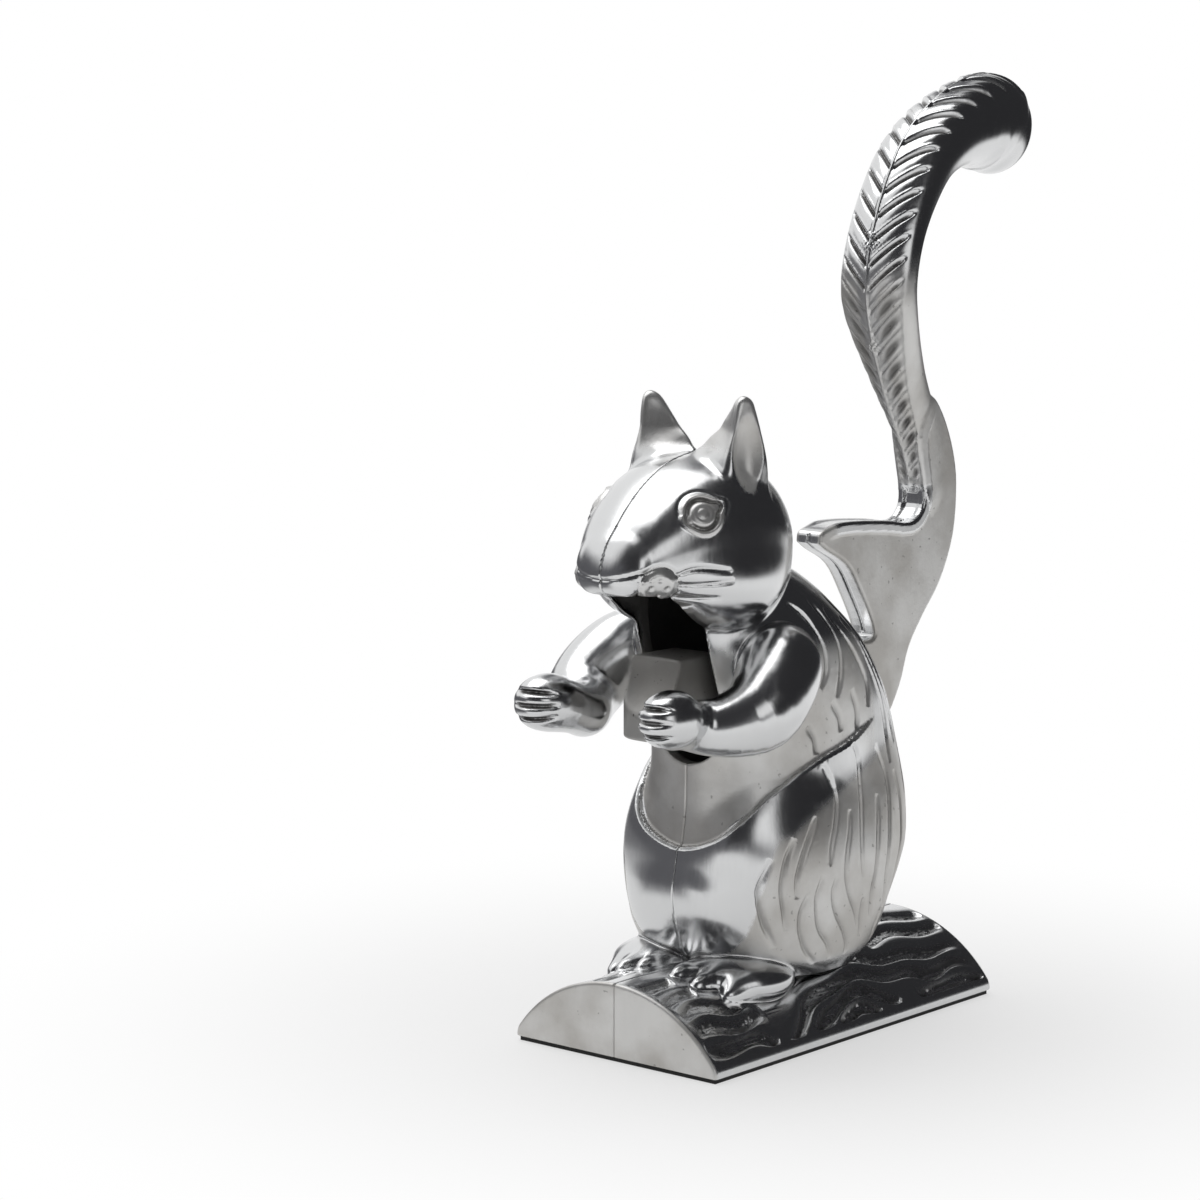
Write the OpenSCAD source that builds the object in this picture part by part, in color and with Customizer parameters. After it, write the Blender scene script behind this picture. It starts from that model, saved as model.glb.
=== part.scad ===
// Lever nutcracker press in the shape of a sitting squirrel on a half log.
// Two cast half shells meet on the plane x = 0. The tail is a one-piece lever
// that turns on a steel pin inside the body and lifts a cupped jaw to the muzzle.
// Origin: centre of the underside. The squirrel faces -Y and +Z is up. Millimetres.

/* [Log base] */
// Width of the log
log_w = 62; // [52:1:76]
// Length of the log
log_len = 112; // [94:1:136]
// Height of the log's crown above the table
log_h = 19; // [16:0.5:23]
// Height of the log's upright lower edge
log_lip = 3; // [2:0.5:5]
// Thickness of the pad under the log
pad_t = 1; // [0.8:0.1:2]
// How far the pad stays inside the log's edge
pad_inset = 0.8; // [0.5:0.1:3]

/* [Body] */
// Width of the body across the haunches
body_w = 59; // [50:1:72]
// Width of the head across the cheeks
head_w = 44; // [38:1:53]
// Wall of the castings
wall = 3.6; // [3:0.1:4.4]
// Height of the opening's lower end
chest_low = 68; // [66:0.5:70]
// Height of the muzzle's underside, which the nut is pressed against
anvil_z = 111.7; // [110:0.1:114]

/* [Lever] */
// Thickness of the lever's web
web_t = 8; // [6.5:0.1:9.6]
// Width of the cupped jaw
jaw_w = 15; // [12.5:0.5:18]
// Radius of the cup that holds the nut
cup_r = 17.5; // [15:0.5:21]
// Width of the tail at its broadest
tail_w = 22; // [18:0.5:27]
// Radius of the lever's hub
hub_r = 11; // [9:0.5:12]
// Clearance between the jaw and the opening in the chest, each side
jaw_gap = 3; // [2:0.5:5]
// Clearance between the lever and the slot in the back, each side
slot_gap = 1.6; // [1:0.1:3]

/* [Pivot] */
// Pivot's distance behind the middle of the log
pivot_y = 22; // [20:0.5:24]
// Pivot's height above the table
pivot_z = 78; // [77:0.5:80]
// Diameter of the pivot pin
pin_d = 8; // [6.5:0.1:9.6]
// Length of the pivot pin
pin_len = 36; // [30:0.5:40]
// Thickness of each thrust washer
washer_t = 1.2; // [1:0.1:1.5]
// Clearance between flat faces that slide
face_gap = 0.15; // [0.1:0.05:0.3]
// Radial clearance of a running fit
run_gap = 0.05; // [0.02:0.01:0.1]

/* [Fasteners] */
// Diameter of the assembly screws' shanks
screw_d = 4; // [3.3:0.1:4.8]
// Diameter of the screw heads
screw_head_d = 7; // [6:0.1:8.4]
// Height of the screw heads
screw_head_h = 2.8; // [2.3:0.1:3.4]
// Depth of the screw seats behind the split plane
screw_seat = 12; // [10:0.5:14]
// Reach of the screws into the left casting
screw_reach = 10; // [8:0.5:12]
// Diameter of the alignment dowels
dowel_d = 4; // [3.3:0.1:4.8]
// Length of the alignment dowels
dowel_len = 12; // [10:0.5:14]

/* [Hidden] */

aluminium = [0.78, 0.79, 0.80];
steel = [0.62, 0.64, 0.67];
rubber = [0.14, 0.14, 0.15];
eps = 0.01;
far = 200;

// Screws and dowels as [y, z]
screw_at = [[-42, 10.5], [44, 10.5], [6, 44], [8, 103.5]];
dowel_at = [[-12, 9.5], [33.5, 45], [-22, 129]];
boss_wall = 3;
screw_slack = 0.1;
screw_head_slack = 0.4;
screw_socket_r = screw_d / 2 - 0.5;
dowel_slack = 0.03;
// How much deeper a blind bore is than what it holds
bore_spare = 0.5;
// How far a cutter runs past a face
over = 1;
washer_inset = 0.6;
washer_r = hub_r - washer_inset;
washer_in = web_t / 2 + face_gap;
washer_out = washer_in + washer_t;
boss_face = washer_out + face_gap;
slot_w = web_t + 2 * slot_gap;
slot_front = 24;
slot_low = 56;
slot_high = 92;
// Opening in the chest: rounded below, square in its topmost part, cut back to the inside
chest_w = jaw_w + 2 * jaw_gap;
chest_square = 10;
chest_rear = -20;
// Way of the jaw from the body up to the muzzle
throat_gap = 2;
throat_w = jaw_w + 2 * throat_gap;
throat_front = -39.5;
throat_rear = -6;
throat_low = 88;
throat_high = 120;
head_floor = anvil_z - 6;

// Torso stations: height, front, back, half width as a share of half the body
torso_rows = [
    [16, -22, 20, 0.80], [20, -28, 25, 0.90], [25, -31.5, 29, 0.96], [31, -33.7, 32.5, 0.99],
    [38, -34, 36, 1], [44, -32.4, 38.5, 1], [50, -30.8, 40.3, 0.97], [56, -29.6, 41.3, 0.93],
    [62, -29.2, 41, 0.88], [68, -29.2, 40, 0.84], [75, -30, 38, 0.82], [82, -31.5, 35, 0.81],
    [89, -34, 30.5, 0.79], [96, -36.5, 25, 0.75], [102, -38.5, 18.5, 0.68],
    [108, -39.5, 11, 0.60], [113, -38, 3, 0.50], [117, -34, -5, 0.36], [120, -28, -12, 0.18]];
torso_power = 2.3;

// Head stations from muzzle to nape: y, underside, top, half width as a share of half the head
head_rows = [
    [-61, 113.5, 118, 0.16], [-59.5, 111.6, 121.6, 0.34], [-55, 110.4, 127.6, 0.52],
    [-48, 108.5, 134.4, 0.72], [-40, 105.5, 139.4, 0.89], [-31, 102.5, 142.2, 1],
    [-22, 101.5, 142.6, 0.99], [-13, 103.5, 139, 0.84], [-6, 107.5, 132.5, 0.62],
    [-1, 112, 126, 0.36], [1, 116, 122, 0.14]];
head_power = 2.2;

// Arm stations on the left side: x, y, z, radius
arm_rows = [
    [18, -13, 99, 9], [23.5, -19, 97, 10.5], [27, -26, 91, 10.2], [27, -33, 84.5, 9],
    [23, -39.5, 81.5, 7.4], [19, -45, 81, 6.3], [17.5, -51, 82.4, 5.8], [18.6, -57, 84.2, 6.8],
    [19.1, -61, 84.6, 6.9], [19.2, -65, 84.3, 4.8], [19.2, -67, 84.2, 2]];

// Foot stations on the left side: y, height of the middle, half width, half height
foot_x = 11.5;
foot_rows = [
    [-14, 18, 6, 4], [-20, 18, 9, 5.5], [-28, 17, 9.6, 5.5], [-34, 16, 9, 4.8],
    [-38.5, 15.2, 7.4, 3.6], [-40.5, 15, 4, 2]];

// Ear stations on the left side: height, half breadth, half thickness, x, y
ear_rows = [
    [132, 8.4, 6, 14, -26], [138, 8.4, 5.2, 15, -27], [144, 7, 4.2, 15.4, -27],
    [149, 4.8, 3, 15, -26.4], [153.5, 2.6, 1.8, 14.6, -25.8], [156.5, 0.8, 0.7, 14.2, -25.5]];
ear_turn = 50;

// Haunch ellipsoid on the left side: middle and half sizes
haunch_at = [body_w / 2 - 17.5, -6.5, 44];
haunch_half = [17, 24.5, 24];

// Tail stations along its front ridge: y, z, half width, depth behind the ridge
tail_rows = [
    [61.7, 127.6, 0.17, 9], [57.7, 137.7, 0.19, 14], [49.1, 153.3, 0.30, 14],
    [43.2, 169.8, 0.46, 11.5], [41.3, 181, 0.5, 10.5], [44.6, 193.2, 0.5, 11], [49.4, 204.9, 0.5, 13],
    [56.7, 215.8, 0.5, 15.5], [66.7, 223.9, 0.5, 18.5], [78.2, 229.8, 0.5, 22], [88.7, 232.6, 0.5, 24.5],
    [97, 231.6, 0.49, 25], [103, 228, 0.44, 22], [106.5, 223, 0.34, 16], [108, 217, 0.2, 9]];

// Edge of the web from the hook's tip, along the hook's top, down the back to the hub
web_back = [
    [18.7, 118.6], [24.7, 120.1], [34, 120.8], [46, 119.8], [56, 118.6], [61, 121], [62.4, 126.3],
    [60, 140], [64, 148], [66.8, 149.6], [71.2, 144.6], [75.2, 136], [76.9, 127], [75.6, 114],
    [70.1, 102.6], [62.5, 94.2], [56.5, 86.5], [52.6, 77], [46, 68.5], [36, 66]];
// Edge of the web from the hub's top, up the concave front to the hook's tip
web_front = [
    [26, 89], [34, 90.5], [40.6, 90.5], [41.3, 93.5], [36.3, 102], [30, 110.2], [21.7, 116.6]];
// Cupped jaw
jaw_rear = -25;
jaw_front = -46.5;
jaw_top = 95;
jaw_low = 75.5;
jaw_round = 12;
cup_at = [-57, 95.6];
// Edge of the lever's arm, from under the hub, round the end sunk in the jaw, to the hub's rear
arm_top = 92;
arm_low = 75;
arm_end = jaw_rear - 4;
arm_edge = [
    [pivot_y, arm_low - 6], [arm_end, arm_low], [arm_end, arm_top],
    [pivot_y - 8, arm_top - 2], [pivot_y + 8, pivot_z + 8]];

// Value of the rows at u, counted in stations, on a curve through all of them
function along(rows, u) =
    let (i = min(floor(u), len(rows) - 2), t = u - i,
         a = rows[max(i - 1, 0)], b = rows[i], c = rows[i + 1], d = rows[min(i + 2, len(rows) - 1)])
    0.5 * (2 * b + (c - a) * t + (2 * a - 5 * b + 4 * c - d) * t * t
           + (3 * b - a - 3 * c + d) * t * t * t);
// Rows refined to n steps between stations
function refine(rows, n) = [for (k = [0 : (len(rows) - 1) * n]) along(rows, k / n)];
function signed_power(v, p) = sign(v) * pow(abs(v), p);
// Corner k of n on a unit superellipse
function unit(k, n, p) = [signed_power(cos(360 * k / n), 2 / p), signed_power(sin(360 * k / n), 2 / p)];

// Closed skin over rings of equal length, each anticlockwise about the way the rings run
module loft(rings) {
    n = len(rings[0]);
    m = len(rings);
    polyhedron(
        points = [for (ring = rings) each ring],
        faces = [
            [for (k = [0 : n - 1]) k],
            [for (k = [n - 1 : -1 : 0]) (m - 1) * n + k],
            for (i = [0 : m - 2]) for (k = [0 : n - 1])
                let (a = i * n + k, b = i * n + (k + 1) % n, c = a + n, d = b + n)
                each [[a, c, b], [b, c, d]]]);
}

module torso(inset = 0, n = 36) {
    loft([for (r = refine(torso_rows, 1))
        let (half = r[3] * body_w / 2 - inset, mid = (r[1] + r[2]) / 2, deep = (r[2] - r[1]) / 2 - inset)
        [for (k = [0 : n - 1]) let (c = unit(k, n, torso_power)) [half * c[0], mid + deep * c[1], r[0]]]]);
}

module head(inset = 0, n = 32) {
    loft([for (r = refine(head_rows, 1))
        let (half = r[3] * head_w / 2 - inset, mid = (r[1] + r[2]) / 2, tall = (r[2] - r[1]) / 2 - inset)
        [for (k = [0 : n - 1]) let (c = unit(k, n, head_power)) [half * c[0], r[0], mid - tall * c[1]]]]);
}

// Tube with a round section through rows of [x, y, z, radius], always square to its path
module limb(rows, n = 16) {
    fine = refine(rows, 2);
    last = len(fine) - 1;
    loft([for (i = [0 : last])
        let (ahead = fine[min(i + 1, last)] - fine[max(i - 1, 0)],
             t = [ahead[0], ahead[1], ahead[2]] / norm([ahead[0], ahead[1], ahead[2]]),
             up = cross([1, 0, 0], t) / norm(cross([1, 0, 0], t)), side = cross(up, t))
        [for (k = [0 : n - 1]) [fine[i][0], fine[i][1], fine[i][2]]
            + fine[i][3] * (cos(360 * k / n) * side + sin(360 * k / n) * up)]]);
}

module foot(n = 16) {
    loft([for (r = refine(foot_rows, 1)) [for (k = [0 : n - 1]) let (c = unit(k, n, 2.2))
        [foot_x + r[2] * c[0], r[0], r[1] + r[3] * c[1]]]]);
}

module ear(n = 14) {
    loft([for (r = refine(ear_rows, 1)) [for (k = [0 : n - 1]) let (c = unit(k, n, 2))
        [r[3] + r[1] * c[0] * cos(ear_turn) - r[2] * c[1] * sin(ear_turn),
         r[4] + r[1] * c[0] * sin(ear_turn) + r[2] * c[1] * cos(ear_turn), r[0]]]]);
}

module haunch(n = 28) {
    translate(haunch_at) loft([for (i = [1 : n / 2 - 1]) let (a = 180 * i / (n / 2) - 90)
        [for (k = [0 : n - 1]) let (c = unit(k, n, 2))
            [haunch_half[0] * cos(a) * c[0], haunch_half[1] * cos(a) * c[1], haunch_half[2] * sin(a)]]]);
}

// Half log with an arched top, inset on every side
module log_block(inset = 0) {
    half = log_w / 2;
    rise = log_h - log_lip;
    arch_r = (half * half + rise * rise) / (2 * rise);
    rotate([90, 0, 0]) linear_extrude(log_len - 2 * inset, center = true)
        intersection() {
            translate([0, log_h - arch_r]) circle(r = arch_r - inset, $fn = 96);
            translate([inset - half, pad_t + inset]) square([log_w - 2 * inset, log_h]);
        }
}

// Everything outside on the left side of the split plane
module outside() {
    intersection() {
        union() {
            torso();
            head();
            haunch();
            limb(arm_rows);
            foot();
            ear();
            log_block();
        }
        translate([0, -far, pad_t]) cube([far, 2 * far, far]);
    }
}

// Room inside the casting: body, log, head behind the anvil, and the way between them
module hollow() {
    torso(inset = wall);
    log_block(inset = wall);
    intersection() {
        head(inset = wall);
        translate([-far, throat_front, head_floor]) cube([2 * far, far, far]);
    }
    translate([-throat_w / 2, throat_front, throat_low])
        cube([throat_w, throat_rear - throat_front, throat_high - throat_low]);
}

// Openings through the wall: the chest, the mouth and the slot in the back
module mouths() {
    translate([0, chest_rear, 0]) rotate([90, 0, 0]) linear_extrude(far) chest_outline();
    translate([-slot_w / 2, slot_front, slot_low]) cube([slot_w, far, slot_high - slot_low]);
}

module chest_outline() {
    hull() {
        translate([0, chest_low + chest_w / 2]) circle(d = chest_w, $fn = 48);
        translate([-chest_w / 2, anvil_z - chest_square]) square([chest_w, chest_square]);
    }
}

// Bosses that stand on the split plane, one radius each
module bosses(length) {
    for (at = screw_at) post(at, screw_d / 2 + boss_wall, length);
    for (at = dowel_at) post(at, dowel_d / 2 + boss_wall, length);
}

module post(at, r, length) {
    translate([0, at[0], at[1]]) rotate([0, 90, 0]) cylinder(r = r, h = length, $fn = 28);
}

// Casting of one side without its bores
module casting() {
    difference() {
        outside();
        difference() {
            hollow();
            bosses(far);
            translate([boss_face, 0, 0]) post([pivot_y, pivot_z], hub_r, far);
        }
        mouths();
    }
}

// Bore along X through [y, z] from one depth to another
module bore(at, r, from, to) {
    translate([from, at[0], at[1]]) rotate([0, 90, 0]) cylinder(r = r, h = to - from, $fn = 64);
}

module half_bores(screw_end) {
    bore([pivot_y, pivot_z], pin_d / 2 + run_gap, -eps, pin_len / 2 + bore_spare);
    for (at = dowel_at) bore(at, dowel_d / 2 + dowel_slack, -eps, dowel_len / 2 + bore_spare);
}

module left_half() {
    color(aluminium) difference() {
        resize([0, 0, 0]) casting();
        half_bores();
        for (at = screw_at) bore(at, screw_d / 2, -eps, screw_reach + bore_spare);
    }
}

module right_half() {
    color(aluminium) difference() {
        resize([0, 0, 0]) mirror([1, 0, 0]) casting();
        mirror([1, 0, 0]) half_bores();
        mirror([1, 0, 0]) for (at = screw_at) {
            bore(at, screw_d / 2 + screw_slack, -eps, screw_seat + eps);
            bore(at, screw_head_d / 2 + screw_head_slack, screw_seat, far / 2);
        }
    }
}

// Plate in the plane of Y and Z, centred on the split plane
module plate(t) {
    rotate([90, 0, 90]) linear_extrude(t, center = true) children();
}

module web() {
    plate(web_t) union() {
        polygon(concat(refine(web_back, 3), refine(web_front, 3)));
        translate([pivot_y, pivot_z]) circle(r = hub_r, $fn = 64);
        polygon(arm_edge);
    }
}

// Tail blade: crowned in front, flatter behind
module tail(n = 20) {
    fine = refine(tail_rows, 2);
    last = len(fine) - 1;
    loft([for (i = [0 : last])
        let (a = fine[max(i - 1, 0)], b = fine[min(i + 1, last)], run = [b[0] - a[0], b[1] - a[1]],
             t = run / norm(run), inward = [t[1], -t[0]], deep = fine[i][3], half = fine[i][2] * tail_w)
        [for (k = [0 : n - 1]) let (c = unit(k, n, 2.2), d = deep / 2 * (1 + c[1]))
            [half * c[0], fine[i][0] + inward[0] * d, fine[i][1] + inward[1] * d]]]);
}

// Cupped jaw, open to the front and the top
module jaw() {
    difference() {
        intersection() {
            translate([-jaw_w / 2, jaw_front, jaw_low])
                cube([jaw_w, jaw_rear - jaw_front, jaw_top - jaw_low]);
            translate([0, jaw_front + jaw_round, 0]) cylinder(r = jaw_round, h = far, $fn = 64);
        }
        translate([0, cup_at[0], cup_at[1]]) sphere(r = cup_r, $fn = 64);
    }
}

module tail_lever() {
    color(aluminium) difference() {
        union() {
            web();
            jaw();
            resize([0, 0, 0]) tail();
        }
        translate([0, pivot_y, pivot_z]) rotate([0, 90, 0])
            cylinder(d = pin_d + 2 * run_gap, h = web_t + 2 * over, center = true, $fn = 64);
    }
}

module pivot_pin() {
    color(steel) translate([0, pivot_y, pivot_z]) rotate([0, 90, 0])
        cylinder(d = pin_d, h = pin_len, center = true, $fn = 64);
}

// Thrust washer on the left side of the web
module washer() {
    color(steel) difference() {
        bore([pivot_y, pivot_z], washer_r, washer_in, washer_out);
        bore([pivot_y, pivot_z], pin_d / 2 + run_gap, washer_in - over, washer_out + over);
    }
}

module left_thrust_washer() {
    washer();
}

module right_thrust_washer() {
    mirror([1, 0, 0]) washer();
}

// Cylinder head screws, put in from the right
module assembly_screws() {
    color(steel) for (at = screw_at) difference() {
        union() {
            bore(at, screw_d / 2, -screw_seat - eps, screw_reach);
            bore(at, screw_head_d / 2, -screw_seat - screw_head_h, -screw_seat);
        }
        bore(at, screw_socket_r, -screw_seat - screw_head_h - over, -screw_seat - screw_head_h / 2);
    }
}

module alignment_dowels() {
    color(steel) for (at = dowel_at) bore(at, dowel_d / 2, -dowel_len / 2, dowel_len / 2);
}

module base_pad() {
    color(rubber) translate([pad_inset - log_w / 2, pad_inset - log_len / 2, 0])
        cube([log_w - 2 * pad_inset, log_len - 2 * pad_inset, pad_t]);
}

left_half();
right_half();
tail_lever();
pivot_pin();
left_thrust_washer();
right_thrust_washer();
assembly_screws();
alignment_dowels();
base_pad();
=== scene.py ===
"""Looks of the lever nutcracker press: a polished aluminium squirrel on a half log, its tail the lever.

The two castings and the lever are sculpted as implicit solids in millimetres, in the part's own
frame, and meshed where the field is zero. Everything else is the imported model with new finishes.
"""

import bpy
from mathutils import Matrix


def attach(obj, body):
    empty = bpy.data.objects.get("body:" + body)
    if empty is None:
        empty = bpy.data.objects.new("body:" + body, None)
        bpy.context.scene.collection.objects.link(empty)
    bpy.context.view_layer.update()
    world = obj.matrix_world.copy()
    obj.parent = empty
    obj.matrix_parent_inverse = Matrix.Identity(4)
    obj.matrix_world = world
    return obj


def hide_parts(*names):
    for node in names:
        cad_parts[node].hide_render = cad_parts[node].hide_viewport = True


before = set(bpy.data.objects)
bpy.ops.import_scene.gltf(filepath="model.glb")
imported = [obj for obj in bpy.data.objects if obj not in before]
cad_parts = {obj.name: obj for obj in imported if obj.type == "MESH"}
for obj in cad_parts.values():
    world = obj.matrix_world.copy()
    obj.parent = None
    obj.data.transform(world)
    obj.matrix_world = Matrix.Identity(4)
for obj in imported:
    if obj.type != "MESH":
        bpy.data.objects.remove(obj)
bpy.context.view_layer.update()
import concurrent.futures
import itertools
import math

import bpy
import numpy as np
from mathutils import Vector

MM = 0.001
STEP = 0.46    # grid pitch of the sculpted meshes, mm
MOST = 195000                         # triangles in one piece


# ---------------- fields, all in millimetres

def curve(rows, at):
    """Columns of the rows at the given values of the first column, on a smooth curve through them."""
    rows = np.asarray(rows, float)
    knots = rows[:, 0]
    slopes = np.gradient(rows, knots, axis=0)
    at = np.clip(at, knots[0], knots[-1])
    i = np.clip(np.searchsorted(knots, at) - 1, 0, len(knots) - 2)
    wide = (knots[i + 1] - knots[i])[:, None]
    t = (at - knots[i])[:, None] / wide
    a, b = rows[i], rows[i + 1]
    return ((1 + 2 * t) * (1 - t) ** 2 * a + t * (1 - t) ** 2 * wide * slopes[i]
            + t * t * (3 - 2 * t) * b + t * t * (t - 1) * wide * slopes[i + 1])


def blend_min(a, b, k):
    """Union of two fields with a fillet of about k mm."""
    h = np.clip(0.5 + 0.5 * (b - a) / k, 0, 1)
    return b + (a - b) * h - k * h * (1 - h)


def blend_max(a, b, k):
    """Intersection of two fields with an edge rounded by about k mm."""
    return -blend_min(-a, -b, k)


def smooth(low, high, v):
    """0 below low, 1 above high, and an S between them."""
    t = np.clip((v - low) / (high - low), 0, 1)
    return t * t * (3 - 2 * t)


def oval(u, v, a, b, power):
    """Field of a superellipse with half sizes a and b."""
    u, v = np.abs(u) / a, np.abs(v) / b
    r = (u ** power + v ** power) ** (1 / power)
    r_safe = np.maximum(r, 1e-3)
    steep = r_safe ** (1 - power) * np.hypot(u ** (power - 1) / a, v ** (power - 1) / b)
    return np.maximum((r - 1) / np.maximum(steep, 1e-3), -np.minimum(a, b))


def egg(p, middle, half, turn=0.0):
    """Field of an ellipsoid, turned about Z by turn degrees."""
    q = p - np.asarray(middle, float)
    if turn:
        c, s = math.cos(math.radians(turn)), math.sin(math.radians(turn))
        q = np.stack([c * q[:, 0] + s * q[:, 1], c * q[:, 1] - s * q[:, 0], q[:, 2]], 1)
    half = np.asarray(half, float)
    k0 = np.linalg.norm(q / half, axis=1)
    k1 = np.linalg.norm(q / half ** 2, axis=1)
    return k0 * (k0 - 1) / np.maximum(k1, 1e-6)


def limb(p, rows, k):
    """Field of a chain of tapered capsules through rows of [x, y, z, radius]."""
    out = None
    for a, b in zip(rows[:-1], rows[1:]):
        a, b = np.asarray(a, float), np.asarray(b, float)
        run = b[:3] - a[:3]
        t = np.clip((p - a[:3]) @ run / (run @ run), 0, 1)
        d = np.linalg.norm(p - a[:3] - t[:, None] * run, axis=1) - (a[3] + (b[3] - a[3]) * t)
        out = d if out is None else blend_min(out, d, k)
    return out


def through(points, n):
    """The points refined to n steps each, on a smooth curve through them."""
    pts = np.asarray(points, float)
    keys = np.arange(len(pts))
    return curve(np.column_stack([keys, pts]), np.linspace(0, len(pts) - 1, n * (len(pts) - 1) + 1))[:, 1:]


def furrows(u, v, strokes, width, depth):
    """Depth of grooves with tapered ends along smooth strokes in the plane of u and v."""
    out = np.zeros(len(u))
    reach = 2.4 * width
    for points in strokes:
        fine = through(points, 5)
        low, high = fine.min(0) - reach, fine.max(0) + reach
        near = np.flatnonzero((u > low[0]) & (u < high[0]) & (v > low[1]) & (v < high[1]))
        if not len(near):
            continue
        uu, vv = u[near], v[near]
        best = np.full(len(near), 1e9)
        share = np.zeros(len(near))
        for i in range(len(fine) - 1):
            a, run = fine[i], fine[i + 1] - fine[i]
            t = np.clip(((uu - a[0]) * run[0] + (vv - a[1]) * run[1]) / (run @ run + 1e-9), 0, 1)
            d = (uu - a[0] - t * run[0]) ** 2 + (vv - a[1] - t * run[1]) ** 2
            closer = d < best
            best[closer] = d[closer]
            share[closer] = ((i + t) / (len(fine) - 1))[closer]
        ends = np.sqrt(np.clip(5 * share * (1 - share), 0, 1))
        out[near] = np.maximum(out[near], depth * ends * np.exp(-best / width ** 2))
    return out


def within(p, box, field, far=9.0):
    """The field inside a box and a plain far value outside it, to save time."""
    low, high = np.asarray(box, float)
    out = np.full(len(p), far)
    near = ((p > low) & (p < high)).all(1)
    if near.any():
        out[near] = field(p[near])
    return out


def convex(u, v, corners, k):
    """Field of a convex outline, its corners given anticlockwise and rounded by about k mm."""
    out = None
    for (au, av), (bu, bv) in zip(corners, corners[1:] + corners[:1]):
        ru, rv = bu - au, bv - av
        side = ((u - au) * rv - (v - av) * ru) / np.sqrt(ru * ru + rv * rv + 1e-6)
        out = side if out is None else blend_max(out, side, k)
    return out


# ---------------- the castings

WALL = 3.6
LOG_W, LOG_LEN, LOG_H, LOG_LIP, PAD_T = 62.0, 112.0, 19.0, 3.0, 1.0
BODY_W, BODY_LOW, BODY_TOP = 59.0, 16.0, 120.0
HEAD_W, SNOUT, NAPE = 44.0, -61.0, 1.0
CHEST_W, CHEST_LOW, CHEST_REAR = 21.0, 68.0, -20.0
ANVIL_Z, ANVIL_T, ANVIL_REAR = 111.7, 6.0, -39.5
THROAT, THROAT_HALF = (0, -22.75, 104), (9.5, 16.75, 16)
SLOT_W, SLOT_FRONT, SLOT_LOW, SLOT_HIGH = 11.2, 24.0, 56.0, 92.0
# Places across the split, as (y, z)
PIVOT = (22.0, 78.0)
SCREWS = [(-42, 10.5), (44, 10.5), (6, 44), (8, 103.5)]
DOWELS = [(-12, 9.5), (33.5, 45), (-22, 129)]
PIN_R, PIN_PLAY, PIN_DEEP, HUB_R, BOSS_FACE = 4.0, 0.05, 18.5, 11.0, 5.5
SCREW_R, SCREW_PLAY, SCREW_HEAD_R, SCREW_SEAT, SCREW_DEEP = 2.0, 0.1, 3.9, 12.0, 10.5
DOWEL_R, DOWEL_DEEP = 2.05, 6.5
POST_T = 3.0    # metal round each screw and dowel
SPLIT_GAP, SPLIT_EDGE = 0.02, 0.35    # half the gap between the shells, and its edge

# Height, front, back, half width as a share of half the body
TORSO = [[16, -22, 20, 0.80], [20, -28, 25, 0.90], [25, -31.5, 29, 0.96], [31, -33.7, 32.5, 0.99],
         [38, -34, 37.2, 1], [44, -32.4, 39.9, 1], [50, -30.8, 40.9, 0.97], [56, -29.6, 41.3, 0.93],
         [62, -29.2, 41, 0.88], [68, -29.2, 40, 0.84], [75, -30, 38, 0.82], [82, -31.5, 35, 0.81],
         [89, -34, 30.5, 0.79], [96, -36.5, 25, 0.75], [102, -38.5, 18.5, 0.68],
         [108, -39.5, 11, 0.60], [113, -38, 3, 0.50], [117, -34, -5, 0.36], [120, -28, -12, 0.18]]
# Y, underside, top, half width as a share of half the head
HEAD = [[-61, 113.5, 118, 0.16], [-59.5, 111.6, 121.6, 0.34], [-55, 110.4, 127.6, 0.52],
        [-48, 108.5, 134.4, 0.72], [-40, 105.5, 139.4, 0.89], [-31, 102.5, 142.2, 1],
        [-22, 101.5, 142.6, 0.99], [-13, 103.5, 139, 0.84], [-6, 107.5, 132.5, 0.62],
        [-1, 112, 126, 0.36], [1, 116, 122, 0.14]]
ARM = through([[17.5, -16, 94, 8.4], [23, -22.5, 92.8, 9.7], [26.2, -29, 88.8, 9.5], [26.8, -35, 84, 8.9],
               [23.1, -40.3, 81.5, 7.4], [19, -45, 81, 6.2], [17.5, -51, 82.4, 5.7],
               [18.6, -56.5, 84.2, 6.6], [19.1, -60.3, 84.6, 6.2]], 3)
# Ellipsoids: middle, half sizes and turn about Z
HAUNCH = ((12, -6.5, 44), (17, 24.5, 24))
JOWL = ((11.5, -30, 113), (11, 13.5, 11))
INSTEP = ((11, -22.5, 16.5), (14, 13, 6.6))
TOES = [((5.4, -34.5, 18.4), (2.9, 6.2, 3.0)), ((11.7, -34.3, 17.0), (2.9, 6.4, 3.1)),
        ((17.8, -30, 14.9), (3.1, 6.6, 3.2))]
SCOOP = ((18.3, -28.1, 144.6), (3.5, 4.1, 10.2), -33)
# Boxes that hold the small parts: lowest and highest corner
ARM_BOX = ((6, -75, 65), (45, 2, 115))
FOOT_BOX = ((-5, -45, 8), (34, -5, 32))
EAR_BOX = ((-5, -40, 131), (24, -10, 160))
SCOOP_BOX = ((10, -36, 134), (24, -20, 158))
EYE_BOX = ((8, -52, 122), (24, -33, 139))
MUZZLE_BOX = ((-1, -64, 105), (24, -38, 121))


def torso(p, inset=0.0):
    """Field of the body, or of the room inside it at an inset."""
    row = curve(TORSO, p[:, 2])
    half = np.maximum(row[:, 3] * BODY_W / 2 - inset, 0.5)
    deep = np.maximum((row[:, 2] - row[:, 1]) / 2 - inset, 0.5)
    side = oval(p[:, 0], p[:, 1] - (row[:, 1] + row[:, 2]) / 2, half, deep, 2.3)
    return np.maximum(side, np.maximum(p[:, 2] - BODY_TOP + inset, BODY_LOW - p[:, 2]))


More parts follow.
